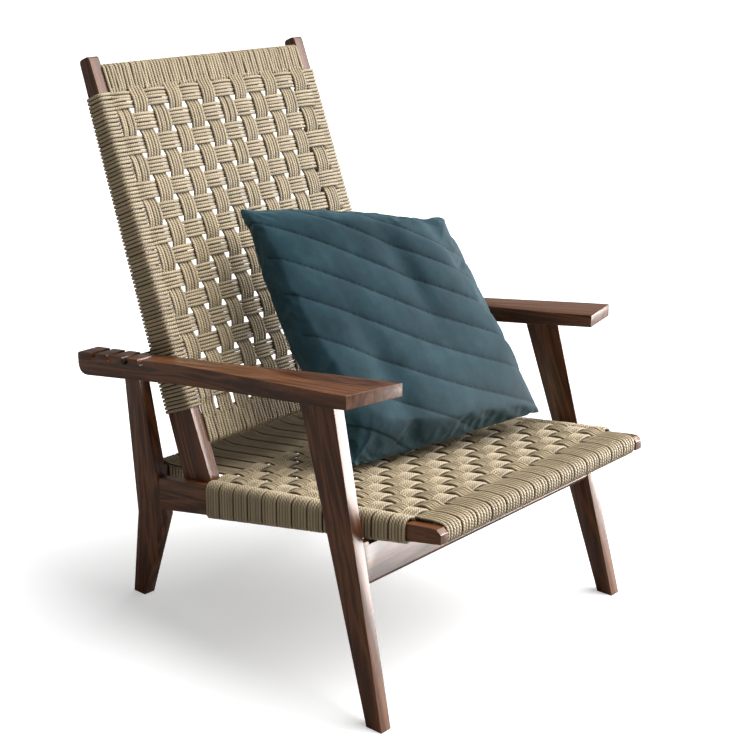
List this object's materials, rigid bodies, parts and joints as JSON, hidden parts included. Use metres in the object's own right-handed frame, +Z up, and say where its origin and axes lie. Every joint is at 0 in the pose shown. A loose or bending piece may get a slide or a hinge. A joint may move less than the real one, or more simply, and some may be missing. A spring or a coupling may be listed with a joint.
{
  "type": "lounge armchair",
  "caption": "Wooden lounge armchair with a woven cord seat and back; the back leans on a steel rod lying in notched arms, with a loose velvet cushion.",
  "frame": {"origin": "on the floor, under the middle of the chair's overall width and depth", "axes": "+Z up, -Y towards the front of the seat, +X to the sitter's left"},
  "size_m": [0.714, 0.8366, 0.9987],
  "materials": {
    "walnut": "dark reddish walnut, satin oil",
    "beech": "plain beech, unfinished",
    "cord": "twisted paper cord, khaki beige",
    "steel": "blackened steel",
    "velvet": "dark teal velvet with sewn pintucks"
  },
  "bodies": {
    "frame": {"front_leg_left": "walnut", "front_leg_right": "walnut", "rear_leg_left": "walnut", "rear_leg_right": "walnut", "side_rail_left": "walnut", "side_rail_right": "walnut", "arm_left": "walnut", "arm_right": "walnut", "front_stretcher": "walnut", "seat_front_rail": "walnut", "seat_rear_rail": "walnut", "arm_dowel_front_left": "beech", "arm_dowel_front_right": "beech", "arm_dowel_rear_left": "beech", "arm_dowel_rear_right": "beech", "stretcher_dowel_left": "beech", "stretcher_dowel_right": "beech", "side_rail_dowel_left": "beech", "side_rail_dowel_right": "beech", "front_rail_dowel_left": "beech", "front_rail_dowel_right": "beech", "rear_rail_dowel_left": "beech", "rear_rail_dowel_right": "beech", "pivot_pin_left": "steel", "pivot_pin_right": "steel", "seat_cord_field": "cord", "seat_cord_side_left": "cord", "seat_cord_side_right": "cord", "seat_cord_front": "cord", "seat_cord_rear": "cord"},
    "back": {"back_stile_left": "walnut", "back_stile_right": "walnut", "back_bottom_rail": "walnut", "back_top_rail": "walnut", "bottom_rail_dowel_left": "beech", "bottom_rail_dowel_right": "beech", "top_rail_dowel_left": "beech", "top_rail_dowel_right": "beech", "back_cord_field": "cord", "back_cord_stile_left": "cord", "back_cord_stile_right": "cord", "back_cord_bottom": "cord", "back_cord_top": "cord"},
    "rod": {"support_rod": "steel"},
    "cushion": {"throw_cushion": "velvet"}
  },
  "joints": [
    {"name": "back_tilt", "type": "hinge", "parent": "frame", "child": "back", "pos_m": [0, 0.14268, 0.255], "axis": [1, 0, 0], "range_deg": [0, 10.7]},
    {"name": "rod_lift", "type": "slide", "parent": "frame", "child": "rod", "axis": [0, 0.3099, 0.9508], "range_m": [0, 0.06]},
    {"name": "cushion_push", "type": "slide", "parent": "frame", "child": "cushion", "axis": [0, -0.9917, 0.1289], "range_m": [0, 0.08]}
  ],
  "couplings": [
    {"joint": "cushion_push", "follows": "back_tilt", "m_per_rad": 0.4}
  ]
}
